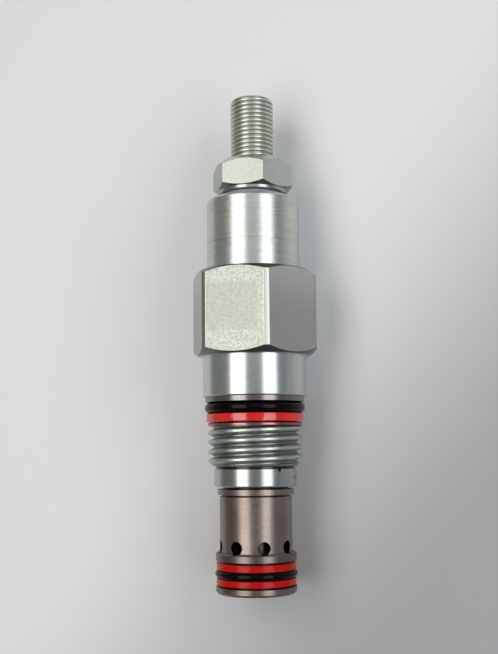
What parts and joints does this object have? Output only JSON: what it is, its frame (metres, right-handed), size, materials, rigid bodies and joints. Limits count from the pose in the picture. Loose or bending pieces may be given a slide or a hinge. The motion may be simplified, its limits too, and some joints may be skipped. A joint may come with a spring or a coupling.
{
  "type": "cartridge valve",
  "caption": "Screw-in hydraulic relief valve cartridge with hexagon body, sealed nose sleeve with side ports, and an adjusting screw with lock nut.",
  "frame": {"origin": "on the valve's axis, in the plane of the hexagon's underside, which seats on the manifold", "axes": "+Z along the valve's axis from the nose towards the adjuster; -Y is the outward normal of one flat of the body hexagon, and X completes a right-handed frame"},
  "size_m": [0.0251, 0.0222, 0.0962],
  "materials": {
    "zinc_steel": "zinc plated, fine turned",
    "sleeve_steel": "satin ground, warm grey",
    "hard_steel": "ground and hardened",
    "spring_steel": "drawn wire",
    "black_rubber": "gloss, oiled",
    "red_backup": "semi-gloss moulded polyurethane",
    "white_backup": "PTFE"
  },
  "bodies": {
    "valve_body": {"valve_body": "zinc_steel", "pilot_seat": "hard_steel", "pilot_seat_oring": "black_rubber", "sleeve": "sleeve_steel", "sleeve_retaining_ring": "spring_steel", "register_oring": "black_rubber", "register_backup_ring": "red_backup", "nose_backup_ring_upper": "red_backup", "nose_oring": "black_rubber", "nose_backup_ring_lower": "red_backup", "pilot_spring": "spring_steel", "main_spring": "spring_steel"},
    "spring_plunger": {"upper_spring_seat": "hard_steel", "plunger_oring": "black_rubber", "plunger_backup_ring": "white_backup"},
    "adjusting_screw": {"adjusting_screw": "zinc_steel"},
    "nut_seal": {"locknut_seal": "black_rubber"},
    "lock_nut": {"lock_nut": "zinc_steel"},
    "pilot_poppet": {"lower_spring_seat": "hard_steel", "pilot_ball": "hard_steel"},
    "main_piston": {"main_piston": "hard_steel", "piston_orifice": "hard_steel", "piston_screen": "hard_steel", "screen_retainer": "hard_steel"}
  },
  "joints": [
    {"name": "adjuster_travel", "type": "slide", "parent": "valve_body", "child": "spring_plunger", "axis": [0, 0, 1], "range_m": [-0.0034, 0.00085], "deforming": ["pilot_spring"]},
    {"name": "adjuster_turn", "type": "hinge", "parent": "spring_plunger", "child": "adjusting_screw", "pos_m": [0, 0, 0.04], "axis": [0, 0, 1], "range_deg": [-1441, 361]},
    {"name": "locknut_lift", "type": "slide", "parent": "valve_body", "child": "nut_seal", "axis": [0, 0, 1], "range_m": [0, 0.00128]},
    {"name": "locknut_turn", "type": "hinge", "parent": "nut_seal", "child": "lock_nut", "pos_m": [0, 0, 0.0355], "axis": [0, 0, 1], "range_deg": [0, 541]},
    {"name": "pilot_lift", "type": "slide", "parent": "valve_body", "child": "pilot_poppet", "axis": [0, 0, 1], "range_m": [0, 0.0004], "stiffness_N_per_m": 500},
    {"name": "piston_stroke", "type": "slide", "parent": "valve_body", "child": "main_piston", "axis": [0, 0, 1], "range_m": [0, 0.0034], "stiffness_N_per_m": 900, "deforming": ["main_spring"]}
  ],
  "couplings": [
    {"joint": "adjuster_turn", "follows": "adjuster_travel", "rad_per_m": 7392},
    {"joint": "locknut_turn", "follows": "locknut_lift", "rad_per_m": 7392}
  ]
}
